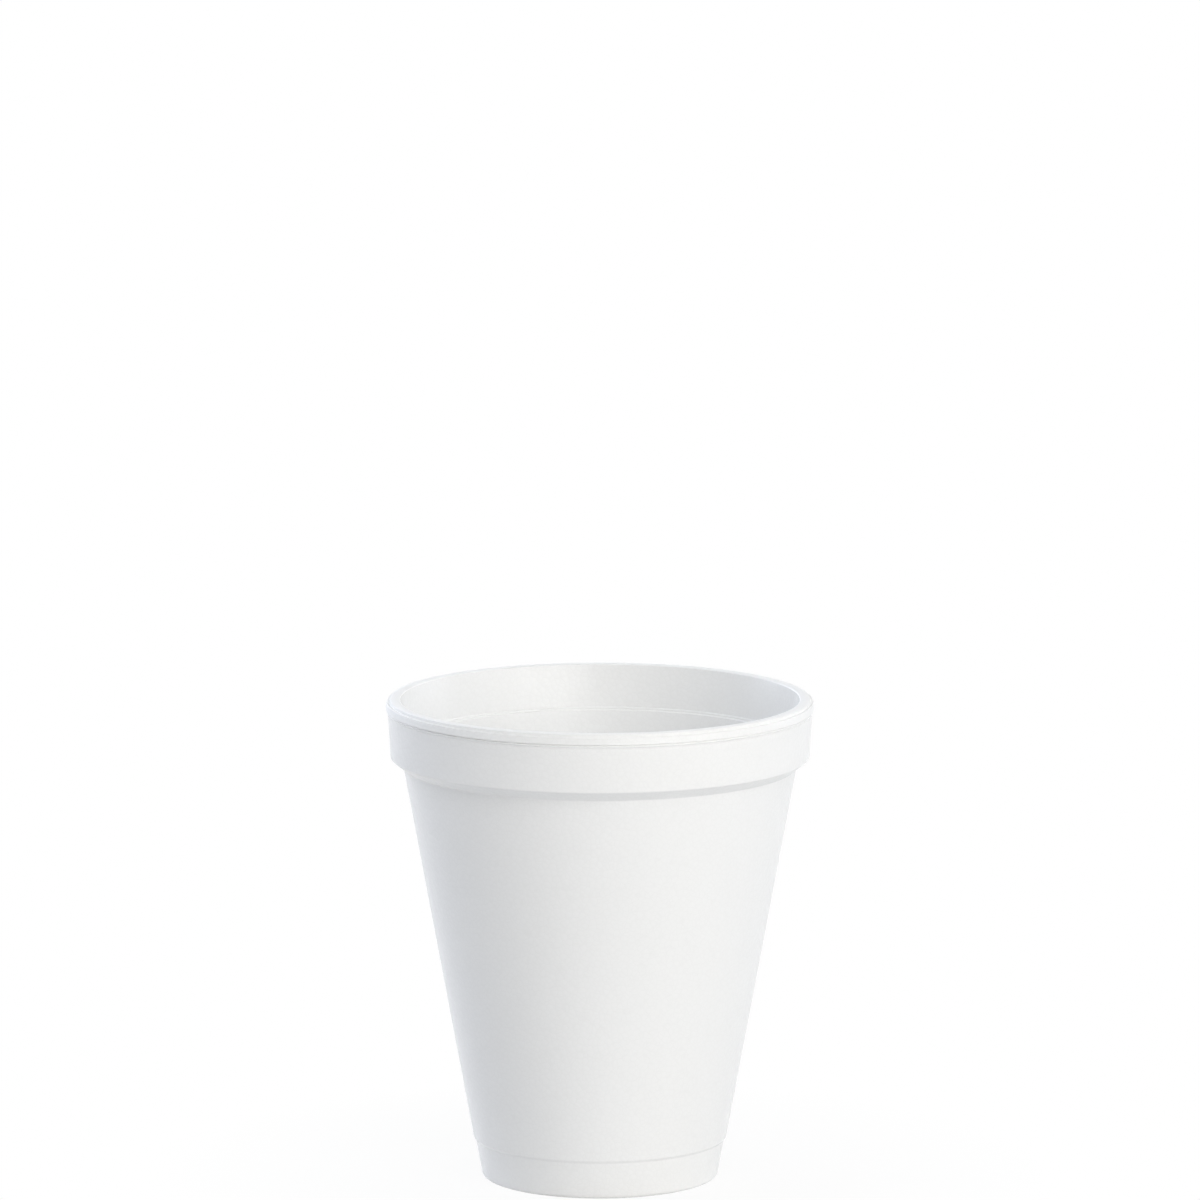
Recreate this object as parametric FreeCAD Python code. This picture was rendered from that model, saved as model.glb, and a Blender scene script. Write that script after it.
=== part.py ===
"""Moulded foam cup: one revolved solid of expanded bead foam.

The cup stands on its foot ring with the axis along +Z and the origin at the
centre of the ring, in millimetres. Its half section is drawn once, from the
middle of the underside round the outside to the lip and back down the inside,
and turned about the axis.
"""
import FreeCAD
import Part
import math
import os

# The whole cup
CUP_HEIGHT = 106.75          # from the foot ring to the crest of the lip
RIM_RADIUS = 47.0            # widest point, at the lower edge of the flange
BASE_RADIUS = 26.27          # the body's cone carried down to the table
WALL = 2.4                   # thickness of the body, square to its wall
FLOOR = 2.6                  # thickness of the floor

# Foot: the wall steps in above the table so that cups part when stacked
FOOT_HEIGHT = 8.22           # table to the lower edge of the step
FOOT_STEP_HEIGHT = 0.6
FOOT_INSET = 0.36            # how far the foot stands back from the body
FOOT_ROUNDING = 0.95         # outer edge that meets the table
FOOT_STEP_ROUNDING = 0.4     # upper corner of the step
FOOT_CORNER_ROUNDING = 0.15  # lower corner of the step
FOOT_RING_WIDTH = 2.7        # width of the ring at the table
FOOT_RING_DRAFT = 12.0       # degrees, on the inner side of the ring
FOOT_RING_ROUNDING = 0.3     # inner edge that meets the table
UNDERSIDE_DEPTH = 1.7        # the underside stands this far off the table
UNDERSIDE_ROUNDING = 0.6     # where the ring meets the underside

# Mark left in the underside by the filling gun
FILL_MARK_RADIUS = 5.0
FILL_MARK_DEPTH = 0.35
FILL_MARK_ROUNDING = 0.1

# Band below the lip, which the lid grips
BAND_HEIGHT = 9.8            # lower outer edge of the band to its top
BAND_INSET = 0.46            # the top of the band stands back from the flange
BAND_DRAFT = 3.2             # degrees
BAND_ROUNDING = 0.4          # lower outer edge
SHOULDER_INSET = 3.84        # the body under the band stands back from the flange
SHOULDER_HEIGHT = 2.22       # height of the sloping shoulder under the band
SHOULDER_ROUNDING = 0.35     # where the shoulder runs into the body

# Lip: a crown that stands up out of a flange, with a groove between them
LIP_DEPTH = 2.3              # crest to the flange's lower edge
FLANGE_HEIGHT = 1.53         # outer face of the flange
FLANGE_LEAN = 0.22           # its face leans in by this much
FLANGE_TOP_DROP = 0.04       # its top slopes down to the foot of the crown
FLANGE_TOP_ROUNDING = 0.12
FLANGE_EDGE_ROUNDING = 0.1   # lower edge
CROWN_INSET = 0.88           # outer edge of the crown, in from the widest point
CROWN_LEAN = 0.1             # its outer side leans in by this much
CROWN_RADIUS = 3.5           # gentle arc across the top
CROWN_EDGE_ROUNDING = 0.12
CREST_INSET = 2.0            # crest of the crown, in from the widest point
MOUTH_ROUNDING = 0.3         # edge between the crown and the inside
ROUNDING_MARGIN = 1.2        # the arc stops this many roundings short of each edge

# Seams of the mould, just below the flange
SEAM_RIDGE_INSET = 0.21      # ridge between the two seams, in from the flange
SEAM_RIDGE_HEIGHT = 0.2
SEAM_DEPTH = 0.27            # each seam runs in behind the ridge
SEAM_WIDTH = 0.3             # height of a seam's sloping side
SEAM_ROUNDING = 0.05         # bottom of each seam and of the crown's groove
SEAM_RIDGE_ROUNDING = 0.08

# Inside
LEDGE_DROP = 9.45            # crest of the lip to the top of the ledge
LEDGE_STEPS = 2              # small steps that make the ledge
LEDGE_STEP_INSET = 0.17
LEDGE_STEP_HEIGHT = 0.17
LEDGE_STEP_PITCH = 0.54
LEDGE_ROUNDING = 0.05
INNER_FOOT_RISE = 0.8        # the inner step lies above the outer one
INNER_FOOT_ROUNDING = 0.3
FLOOR_ROUNDING = 2.2


def body_slope():
    """Outward run of the body's wall for each unit of height."""
    return (RIM_RADIUS - SHOULDER_INSET - BASE_RADIUS) / shoulder_bottom()


def shoulder_bottom():
    """Height at which the body meets the sloping shoulder."""
    return band_bottom() - SHOULDER_HEIGHT


def band_bottom():
    return band_top() - BAND_HEIGHT


def band_top():
    """Height of the lower seam, where the band starts."""
    return lip_bottom() - 2 * SEAM_WIDTH - SEAM_RIDGE_HEIGHT


def lip_bottom():
    return CUP_HEIGHT - LIP_DEPTH


def body_radius(height):
    """Outer radius of the body's cone at a height."""
    return BASE_RADIUS + body_slope() * height


def inner_radius(height):
    """Radius of the inner wall, one wall thickness inside the cone."""
    return body_radius(height) - WALL * math.hypot(1.0, body_slope())


def crown_height(radius):
    """Height of the crown, an arc about a centre below the crest."""
    run = radius - (RIM_RADIUS - CREST_INSET)
    return CUP_HEIGHT - CROWN_RADIUS + math.sqrt(CROWN_RADIUS ** 2 - run ** 2)


def underside_corners():
    """Middle of the underside to the outer edge of the foot ring."""
    ring_outer = body_radius(0.0) - FOOT_INSET
    ring_inner = ring_outer - FOOT_RING_WIDTH
    lean = UNDERSIDE_DEPTH * math.tan(math.radians(FOOT_RING_DRAFT))
    mark_top = UNDERSIDE_DEPTH + FILL_MARK_DEPTH
    return [
        (0.0, mark_top, 0.0),
        (FILL_MARK_RADIUS, mark_top, FILL_MARK_ROUNDING),
        (FILL_MARK_RADIUS, UNDERSIDE_DEPTH, FILL_MARK_ROUNDING),
        (ring_inner - lean, UNDERSIDE_DEPTH, UNDERSIDE_ROUNDING),
        (ring_inner, 0.0, FOOT_RING_ROUNDING),
        (ring_outer, 0.0, FOOT_ROUNDING),
    ]


def body_corners():
    """Foot wall, step and body, up to the shoulder under the band."""
    step_top = FOOT_HEIGHT + FOOT_STEP_HEIGHT
    return [
        (body_radius(FOOT_HEIGHT) - FOOT_INSET, FOOT_HEIGHT, FOOT_CORNER_ROUNDING),
        (body_radius(step_top), step_top, FOOT_STEP_ROUNDING),
        (body_radius(shoulder_bottom()), shoulder_bottom(), SHOULDER_ROUNDING),
    ]


def band_corners():
    """Lower edge of the band to the seam at its top."""
    top_radius = RIM_RADIUS - BAND_INSET
    bottom_radius = top_radius - BAND_HEIGHT * math.tan(math.radians(BAND_DRAFT))
    return [
        (bottom_radius, band_bottom(), BAND_ROUNDING),
        (top_radius, band_top(), SEAM_ROUNDING),
    ]


def seam_corners():
    """Ridge between the two seams, and the upper seam."""
    ridge_radius = RIM_RADIUS - SEAM_RIDGE_INSET
    ridge_bottom = band_top() + SEAM_WIDTH
    ridge_top = ridge_bottom + SEAM_RIDGE_HEIGHT
    return [
        (ridge_radius, ridge_bottom, SEAM_RIDGE_ROUNDING),
        (ridge_radius, ridge_top, SEAM_RIDGE_ROUNDING),
        (ridge_radius - SEAM_DEPTH, ridge_top + SEAM_WIDTH / 2, SEAM_ROUNDING),
    ]


def lip_corners():
    """Flange, groove and outer side of the crown."""
    flange_top = lip_bottom() + FLANGE_HEIGHT
    crown_edge = RIM_RADIUS - CROWN_INSET
    return [
        (RIM_RADIUS, lip_bottom(), FLANGE_EDGE_ROUNDING),
        (RIM_RADIUS - FLANGE_LEAN, flange_top, FLANGE_TOP_ROUNDING),
        (crown_edge + CROWN_LEAN, flange_top - FLANGE_TOP_DROP, SEAM_ROUNDING),
        (crown_edge, crown_height(crown_edge), CROWN_EDGE_ROUNDING),
        (crown_arc_outer(), crown_height(crown_arc_outer()), 0.0),
    ]


def crown_arc_outer():
    """Radius at which the crown's arc starts, clear of its rounded edge."""
    return RIM_RADIUS - CROWN_INSET - ROUNDING_MARGIN * CROWN_EDGE_ROUNDING


def crown_arc(inner_edge):
    """Arc across the top of the crown, up to the rounding at the mouth."""
    radii = (crown_arc_outer(), (crown_arc_outer() + inner_edge) / 2, inner_edge)
    points = [section_point(radius, crown_height(radius)) for radius in radii]
    return Part.Arc(*points).toShape()


def mouth_corners(inner_edge, mouth_radius):
    """Inner edge of the crown."""
    return [
        (inner_edge, crown_height(inner_edge), 0.0),
        (mouth_radius, crown_height(mouth_radius), MOUTH_ROUNDING),
    ]


def ledge_corners():
    """The small steps by which the inner wall comes in below the lip."""
    corners = []
    top = CUP_HEIGHT - LEDGE_DROP
    for step in range(LEDGE_STEPS):
        upper = top - step * LEDGE_STEP_PITCH
        lower = upper - LEDGE_STEP_HEIGHT
        stand_back = (LEDGE_STEPS - step) * LEDGE_STEP_INSET
        corners.append((inner_radius(upper) + stand_back, upper, LEDGE_ROUNDING))
        step_radius = inner_radius(lower) + stand_back - LEDGE_STEP_INSET
        corners.append((step_radius, lower, LEDGE_ROUNDING))
    return corners


def floor_corners():
    """Inner step behind the foot, and the floor."""
    step_bottom = FOOT_HEIGHT + INNER_FOOT_RISE
    step_top = step_bottom + FOOT_STEP_HEIGHT
    floor_top = UNDERSIDE_DEPTH + FLOOR
    return [
        (inner_radius(step_top), step_top, INNER_FOOT_ROUNDING),
        (inner_radius(step_bottom) - FOOT_INSET, step_bottom, INNER_FOOT_ROUNDING),
        (inner_radius(floor_top) - FOOT_INSET, floor_top, FLOOR_ROUNDING),
        (0.0, floor_top, 0.0),
    ]


def section_point(radius, height):
    return FreeCAD.Vector(radius, 0.0, height)


def round_off(before, corner, after, rounding):
    """Ends and middle of the arc that rounds a corner between two lines."""
    to_before = (before - corner).normalize()
    to_after = (after - corner).normalize()
    half_angle = to_before.getAngle(to_after) / 2
    setback = rounding / math.tan(half_angle)
    to_centre = (to_before + to_after).normalize()
    centre = corner + to_centre * (rounding / math.sin(half_angle))
    middle = centre - to_centre * rounding
    return corner + to_before * setback, middle, corner + to_after * setback


def rounded_path(corners):
    """Lines between the corners, each corner rounded by its own radius."""
    points = [section_point(radius, height) for radius, height, _ in corners]
    edges = []
    start = points[0]
    for index in range(1, len(corners)):
        rounding = corners[index][2]
        if rounding == 0.0:
            edges.append(Part.LineSegment(start, points[index]).toShape())
            start = points[index]
            continue
        first, middle, last = round_off(points[index - 1], points[index], points[index + 1], rounding)
        edges.append(Part.LineSegment(start, first).toShape())
        edges.append(Part.Arc(first, middle, last).toShape())
        start = last
    return edges


def half_section():
    """Closed half section of the cup, with its straight side on the axis."""
    mouth_radius = inner_radius(CUP_HEIGHT) + LEDGE_STEPS * LEDGE_STEP_INSET
    inner_edge = mouth_radius + ROUNDING_MARGIN * MOUTH_ROUNDING
    outside = underside_corners() + body_corners() + band_corners() + seam_corners() + lip_corners()
    inside = mouth_corners(inner_edge, mouth_radius) + ledge_corners() + floor_corners()
    edges = rounded_path(outside)
    edges.append(crown_arc(inner_edge))
    edges.extend(rounded_path(inside))
    axis_ends = [section_point(inside[-1][0], inside[-1][1]), section_point(*outside[0][:2])]
    edges.append(Part.LineSegment(*axis_ends).toShape())
    return Part.Face(Part.Wire(edges))


def cup():
    """The half section turned once about the axis."""
    origin = FreeCAD.Vector(0, 0, 0)
    axis = FreeCAD.Vector(0, 0, 1)
    return half_section().revolve(origin, axis, 360)


os.makedirs("parts", exist_ok=True)
cup().exportStep("parts/cup.step")
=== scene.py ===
import math

import bpy
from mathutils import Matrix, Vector


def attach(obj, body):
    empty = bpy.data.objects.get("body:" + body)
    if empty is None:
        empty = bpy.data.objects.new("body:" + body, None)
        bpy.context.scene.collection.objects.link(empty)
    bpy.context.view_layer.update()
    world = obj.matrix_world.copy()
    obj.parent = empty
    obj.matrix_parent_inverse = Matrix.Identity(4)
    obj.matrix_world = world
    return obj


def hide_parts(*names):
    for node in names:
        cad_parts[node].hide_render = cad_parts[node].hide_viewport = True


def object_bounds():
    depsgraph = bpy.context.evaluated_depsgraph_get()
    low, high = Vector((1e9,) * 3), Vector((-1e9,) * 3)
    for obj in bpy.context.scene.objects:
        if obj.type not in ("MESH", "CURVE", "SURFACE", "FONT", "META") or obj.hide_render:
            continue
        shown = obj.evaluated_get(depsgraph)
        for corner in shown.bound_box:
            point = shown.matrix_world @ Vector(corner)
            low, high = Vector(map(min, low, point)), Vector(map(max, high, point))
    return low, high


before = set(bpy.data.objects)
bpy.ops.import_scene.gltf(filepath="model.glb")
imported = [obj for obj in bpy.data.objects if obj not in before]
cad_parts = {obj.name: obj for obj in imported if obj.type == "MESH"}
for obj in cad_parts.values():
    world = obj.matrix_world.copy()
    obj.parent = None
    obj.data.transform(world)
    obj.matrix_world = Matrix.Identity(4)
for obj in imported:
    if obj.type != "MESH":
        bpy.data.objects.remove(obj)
CAD_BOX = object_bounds()

MM = 0.001

# The cup's mesh
SEGMENTS = 336               # round the axis
SUPPORT = 0.12 * MM          # rings this near to each end of a flat stretch keep it flat
SUPPORT_SHARE = 0.15         # or this share of it, if that is less
SHORTEST_FLAT = 0.12 * MM
SMALLEST_CHORD = 0.03 * MM
ROUNDING_TURN = math.radians(5.5)   # the chords of a rounding turn by more
SAME_POINT = 1e-6
SEAM_DECIMALS = 7            # points on the seam are told apart to this many decimals
SHARP_ANGLE = math.radians(50)

# The foam
FOAM_COLOUR = (0.93, 0.93, 0.92)
SEAM_COLOUR = (0.91, 0.91, 0.90)
FOAM_ROUGHNESS = 0.27
FOAM_IOR = 1.46
BEAD_SIZE = 1.2 * MM
BEAD_HEIGHT = 0.028 * MM
BEAD_SEAM = 0.12             # width of a seam, as a share of a bead
BEAD_SEAM_DEPTH = 0.004 * MM
GRAIN_SIZE = 0.35 * MM
GRAIN_HEIGHT = 0.002 * MM
GRAIN_DETAIL = 2.0
LIP_SKIN = 3.45 * MM         # the lip: height plus radius is less than this short of the rim's corner
LIP_SKIN_FADE = 0.1 * MM
LIP_RELIEF = 0.25            # share of the beads' height left there
LIP_ROUGHNESS = 0.40

# The camera
CAMERA_DISTANCE = 2.15
CAMERA_HEIGHT = 0.4816
CAMERA_PITCH = math.radians(9.33)
CAMERA_LENS = 298.6          # millimetres, as is the sensor
CAMERA_SENSOR = 36.0
CAMERA_REACH = 100.0

# The stage
FLOOR_RADIUS = 6.0
FLOOR_COLOUR = (0.8, 0.8, 0.8)
SHADOW_FADE = (0.03, 0.10)   # how far from the axis the shadow starts and ends to fade
SHADOW_WHITENESS = 0.92      # share of plain white in the floor beside the cup
WORLD_STRENGTH = 0.01        # the dim light from all round

# The lamps: each has an azimuth and an elevation in degrees, a level and a colour
LAMP_DISTANCE = 2.0
LAMP_SIZE = 1.7
LOW_LAMP_SIZE = 1.1          # for a lamp that stands near the floor
LOW_ELEVATION = 10
LAMP_AIM = Vector((0, 0, 0.055))
WARM_WHITE = (1.00, 0.99, 0.97)
COOL_WHITE = (0.85, 0.90, 1.00)


def seam_links(mesh):
    """The points of a revolved mesh on its seam, each with the points that an edge joins it to."""
    on_seam = {}
    for vertex in mesh.vertices:
        x, y, z = vertex.co
        if abs(y) < SAME_POINT and x > SAME_POINT:
            on_seam[vertex.index] = (round(x, SEAM_DECIMALS), round(z, SEAM_DECIMALS))
    links = {}
    for edge in mesh.edges:
        start, end = (on_seam.get(index) for index in edge.vertices)
        if start and end and start != end:
            links.setdefault(start, set()).add(end)
            links.setdefault(end, set()).add(start)
    return links


def bridge_flat_rings(links):
    """Joins the loose ends that lie at one height: a flat ring has no edge on the seam."""
    loose = [point for point in links if len(links[point]) == 1]
    for start in loose:
        for end in loose:
            if start != end and abs(start[1] - end[1]) < SAME_POINT:
                links[start].add(end)


def half_section(node):
    """Half section of a revolved node, from the middle of its underside round to its floor."""
    links = seam_links(node.data)
    bridge_flat_rings(links)
    ends = sorted((p for p in links if len(links[p]) == 1), key=lambda p: p[1])
    path = [ends[0]]
    while len(path) < len(links):
        path.append(next(p for p in links[path[-1]] if p not in path[-2:]))
    return path


def heading(start, end):
    return math.atan2(end[1] - start[1], end[0] - start[0])


def is_straight(path, index):
    """True where the stretch that starts at a point is flat, not one of the chords of a rounding."""
    if math.dist(path[index], path[index + 1]) < SHORTEST_FLAT:
        return False
    for other in (index - 1, index + 1):
        if 0 <= other < len(path) - 1:
            turn = heading(path[other], path[other + 1]) - heading(path[index], path[index + 1])
            if abs(math.remainder(turn, 2 * math.pi)) > ROUNDING_TURN:
                return False
    return True


def shaded_section(path):
    """The section with fewer points on its smallest roundings and more at the ends of flat stretches."""
    points = [path[0]]
    for index in range(len(path) - 1):
        start, end = path[index], path[index + 1]
        if is_straight(path, index):
            share = min(SUPPORT / math.dist(start, end), SUPPORT_SHARE)
            stops = (0.0, share, 1 - share, 1.0)
            points += [tuple(Vector(start).lerp(Vector(end), stop)) for stop in stops]
        elif math.dist(points[-1], end) >= SMALLEST_CHORD:
            points.append(end)
    kept = [here for here, after in zip(points, points[1:]) if math.dist(here, after) > SAME_POINT]
    return kept + [path[-1]]


def lathe(name, section):
    """A closed mesh of revolution of a section whose two ends lie off the axis, each capped by a fan."""
    vertices = []
    for radius, height in section:
        for step in range(SEGMENTS):
            angle = 2 * math.pi * step / SEGMENTS
            vertices.append((radius * math.cos(angle), radius * math.sin(angle), height))
    faces = []
    for ring in range(len(section) - 1):
        low, high = ring * SEGMENTS, (ring + 1) * SEGMENTS
        for step in range(SEGMENTS):
            after = (step + 1) % SEGMENTS
            faces.append((low + step, low + after, high + after, high + step))
    bottom, top = len(vertices), len(vertices) + 1
    vertices += [(0, 0, section[0][1]), (0, 0, section[-1][1])]
    last = (len(section) - 1) * SEGMENTS
    for step in range(SEGMENTS):
        after = (step + 1) % SEGMENTS
        faces.append((bottom, after, step))
        faces.append((top, last + step, last + after))
    mesh = bpy.data.meshes.new(name)
    mesh.from_pydata(vertices, [], faces)
    mesh.shade_smooth()
    mesh.set_sharp_from_angle(angle=SHARP_ANGLE)
    piece = bpy.data.objects.new(name, mesh)
    bpy.context.scene.collection.objects.link(piece)
    return piece


def new_material(name):
    material = bpy.data.materials.new(name)
    material.use_nodes = True
    material.node_tree.nodes.clear()
    return material, material.node_tree


def add_node(tree, kind, inputs=None, **settings):
    """A node of a kind with its settings, each input given as a socket to link from or as a value."""
    node = tree.nodes.new(kind)
    for name, value in settings.items():
        setattr(node, name, value)
    for name, value in (inputs or {}).items():
        if isinstance(value, bpy.types.NodeSocket):
            tree.links.new(value, node.inputs[name])
        else:
            node.inputs[name].default_value = value
    return node


def cell_pattern(tree, place, size, feature):
    """Distance in a pattern of cells of about one size, over the object's own space."""
    node = add_node(tree, "ShaderNodeTexVoronoi", {"Vector": place, "Scale": 1 / size}, feature=feature)
    return node.outputs["Distance"]


def noise_pattern(tree, place, size, detail):
    node = add_node(tree, "ShaderNodeTexNoise", {"Vector": place, "Scale": 1 / size, "Detail": detail})
    return node.outputs["Fac"]


def stretched(tree, value, low, high, to_low, to_high):
    node = add_node(tree, "ShaderNodeMapRange", {"Value": value, "From Min": low, "From Max": high,
                                                 "To Min": to_low, "To Max": to_high})
    return node.outputs["Result"]


def bump(tree, height, depth, strength, under=None):
    inputs = {"Height": height, "Strength": strength, "Distance": depth}
    if under is not None:
        inputs["Normal"] = under
    return add_node(tree, "ShaderNodeBump", inputs).outputs["Normal"]


def distance_from_origin(tree, place):
    return add_node(tree, "ShaderNodeVectorMath", {0: place}, operation="LENGTH").outputs["Value"]


def up_to_lip(tree, place, on_walls, on_lip):
    """A value that changes from the walls to the lip, across a cone from the seam up to the mouth."""
    height = add_node(tree, "ShaderNodeSeparateXYZ", {"Vector": place}).outputs["Z"]
    flat = add_node(tree, "ShaderNodeVectorMath", {0: place, 1: (1, 1, 0)}, operation="MULTIPLY")
    radius = distance_from_origin(tree, flat.outputs["Vector"])
    reach = add_node(tree, "ShaderNodeMath", {0: height, 1: radius}, operation="ADD").outputs["Value"]
    lip_start = CAD_BOX[1][0] + CAD_BOX[1][2] - LIP_SKIN
    return stretched(tree, reach, lip_start - LIP_SKIN_FADE, lip_start, on_walls, on_lip)


def foam_material():
    """White bead foam: satin skin over beads that show as faint domes with thin seams between them."""
    material, tree = new_material("bead_foam")
    place = add_node(tree, "ShaderNodeTexCoord").outputs["Object"]
    domes = cell_pattern(tree, place, BEAD_SIZE, "SMOOTH_F1")
    seams = cell_pattern(tree, place, BEAD_SIZE, "DISTANCE_TO_EDGE")
    seams = stretched(tree, seams, 0.0, BEAD_SEAM, 0.0, 1.0)
    grain = noise_pattern(tree, place, GRAIN_SIZE, GRAIN_DETAIL)
    relief = up_to_lip(tree, place, 1.0, LIP_RELIEF)
    normal = bump(tree, stretched(tree, domes, 0.0, 1.0, 1.0, 0.0), BEAD_HEIGHT, relief)
    normal = bump(tree, seams, BEAD_SEAM_DEPTH, relief, normal)
    normal = bump(tree, grain, GRAIN_HEIGHT, relief, normal)
    tint = add_node(tree, "ShaderNodeMix", {0: seams, 6: (*SEAM_COLOUR, 1), 7: (*FOAM_COLOUR, 1)},
                    data_type="RGBA")
    shader = add_node(tree, "ShaderNodeBsdfPrincipled", {
        "Roughness": up_to_lip(tree, place, FOAM_ROUGHNESS, LIP_ROUGHNESS),
        "IOR": FOAM_IOR,
        "Normal": normal,
    })
    tree.links.new(tint.outputs[2], shader.inputs["Base Color"])
    add_node(tree, "ShaderNodeOutputMaterial", {"Surface": shader.outputs["BSDF"]})
    return material


def seen_directly(tree):
    """1 for camera, glossy and transmission rays and 0 for the rest."""
    path = add_node(tree, "ShaderNodeLightPath")
    total = path.outputs["Is Camera Ray"]
    for kind in ("Is Glossy Ray", "Is Transmission Ray"):
        both = {0: total, 1: path.outputs[kind]}
        added = add_node(tree, "ShaderNodeMath", both, operation="ADD", use_clamp=True)
        total = added.outputs["Value"]
    return total


def floor_material():
    """White floor. Near the cup the camera sees some of the light on it, so it keeps the cup's shadow."""
    material, tree = new_material("floor_white")
    place = add_node(tree, "ShaderNodeTexCoord").outputs["Object"]
    whiteness = stretched(tree, distance_from_origin(tree, place), *SHADOW_FADE, SHADOW_WHITENESS, 1.0)
    share = add_node(tree, "ShaderNodeMath", {0: whiteness, 1: seen_directly(tree)}, operation="MULTIPLY")
    lit = add_node(tree, "ShaderNodeBsdfDiffuse", {"Color": (*FLOOR_COLOUR, 1)})
    white = add_node(tree, "ShaderNodeEmission")
    top = add_node(tree, "ShaderNodeMixShader",
                   {0: share.outputs["Value"], 1: lit.outputs["BSDF"], 2: white.outputs["Emission"]})
    clear = add_node(tree, "ShaderNodeBsdfTransparent")
    from_below = add_node(tree, "ShaderNodeNewGeometry").outputs["Backfacing"]
    both = add_node(tree, "ShaderNodeMixShader",
                    {0: from_below, 1: top.outputs["Shader"], 2: clear.outputs["BSDF"]})
    add_node(tree, "ShaderNodeOutputMaterial", {"Surface": both.outputs["Shader"]})
    return material


def make_floor():
    mesh = bpy.data.meshes.new("floor")
    r = FLOOR_RADIUS
    mesh.from_pydata([(-r, -r, 0), (r, -r, 0), (r, r, 0), (-r, r, 0)], [], [(0, 1, 2, 3)])
    floor = bpy.data.objects.new("floor", mesh)
    bpy.context.scene.collection.objects.link(floor)
    mesh.materials.append(floor_material())


def make_world():
    world = bpy.data.worlds.new("studio")
    bpy.context.scene.world = world
    world.use_nodes = True
    tree = world.node_tree
    tree.nodes.clear()
    dim = add_node(tree, "ShaderNodeBackground", {"Strength": WORLD_STRENGTH}, name="ambient")
    white = add_node(tree, "ShaderNodeBackground", {"Color": (1, 1, 1, 1)})
    mix = add_node(tree, "ShaderNodeMixShader",
                   {0: seen_directly(tree), 1: dim.outputs["Background"], 2: white.outputs["Background"]})
    add_node(tree, "ShaderNodeOutputWorld", {"Surface": mix.outputs["Shader"]})


def make_lamp(name, azimuth, elevation, level, colour):
    """A round softbox. Azimuth 0 is behind the camera and 90 is to its right.

    The level is how bright it makes a white card that faces it.
    """
    light = bpy.data.lights.new(name, "AREA")
    light.shape = "DISK"
    light.size = LOW_LAMP_SIZE if elevation < LOW_ELEVATION else LAMP_SIZE
    light.energy = level * (math.pi * LAMP_DISTANCE) ** 2
    light.color = colour
    lamp = bpy.data.objects.new(name, light)
    bpy.context.scene.collection.objects.link(lamp)
    around, up = math.radians(azimuth), math.radians(elevation)
    away = Vector((math.sin(around) * math.cos(up), -math.cos(around) * math.cos(up), math.sin(up)))
    lamp.location = LAMP_AIM + away * LAMP_DISTANCE
    lamp.rotation_euler = away.to_track_quat("Z", "Y").to_euler()
    lamp.visible_camera = False


def make_lamps():
    make_lamp("front", 0, 45, 0.18, WARM_WHITE)
    make_lamp("key", 30, 24, 0.51, WARM_WHITE)
    make_lamp("key_high", 30, 45, 0.10, WARM_WHITE)
    make_lamp("key_low", 60, 6, 0.10, WARM_WHITE)
    make_lamp("right", 120, 24, 0.29, COOL_WHITE)
    make_lamp("back_right", 150, 45, 0.17, WARM_WHITE)
    make_lamp("back_low", 210, 6, 0.15, COOL_WHITE)
    make_lamp("back_left", 210, 24, 0.15, COOL_WHITE)
    make_lamp("left", 240, 24, 0.42, COOL_WHITE)
    make_lamp("left_high", 270, 45, 0.20, COOL_WHITE)


def make_camera():
    data = bpy.data.cameras.new("camera")
    data.lens = CAMERA_LENS
    data.sensor_width = CAMERA_SENSOR
    data.clip_end = CAMERA_REACH
    camera = bpy.data.objects.new("camera", data)
    bpy.context.scene.collection.objects.link(camera)
    camera.location = (0, -CAMERA_DISTANCE, CAMERA_HEIGHT)
    camera.rotation_euler = (math.pi / 2 - CAMERA_PITCH, 0, 0)
    bpy.context.scene.camera = camera


def make_cup():
    section = shaded_section(half_section(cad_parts["cup"]))
    cup = lathe("foam_cup", section)
    cup.data.materials.append(foam_material())
    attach(cup, "root")
    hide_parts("cup")


make_cup()
make_floor()
make_world()
make_lamps()
make_camera()
bpy.context.scene.view_settings.view_transform = "Standard"
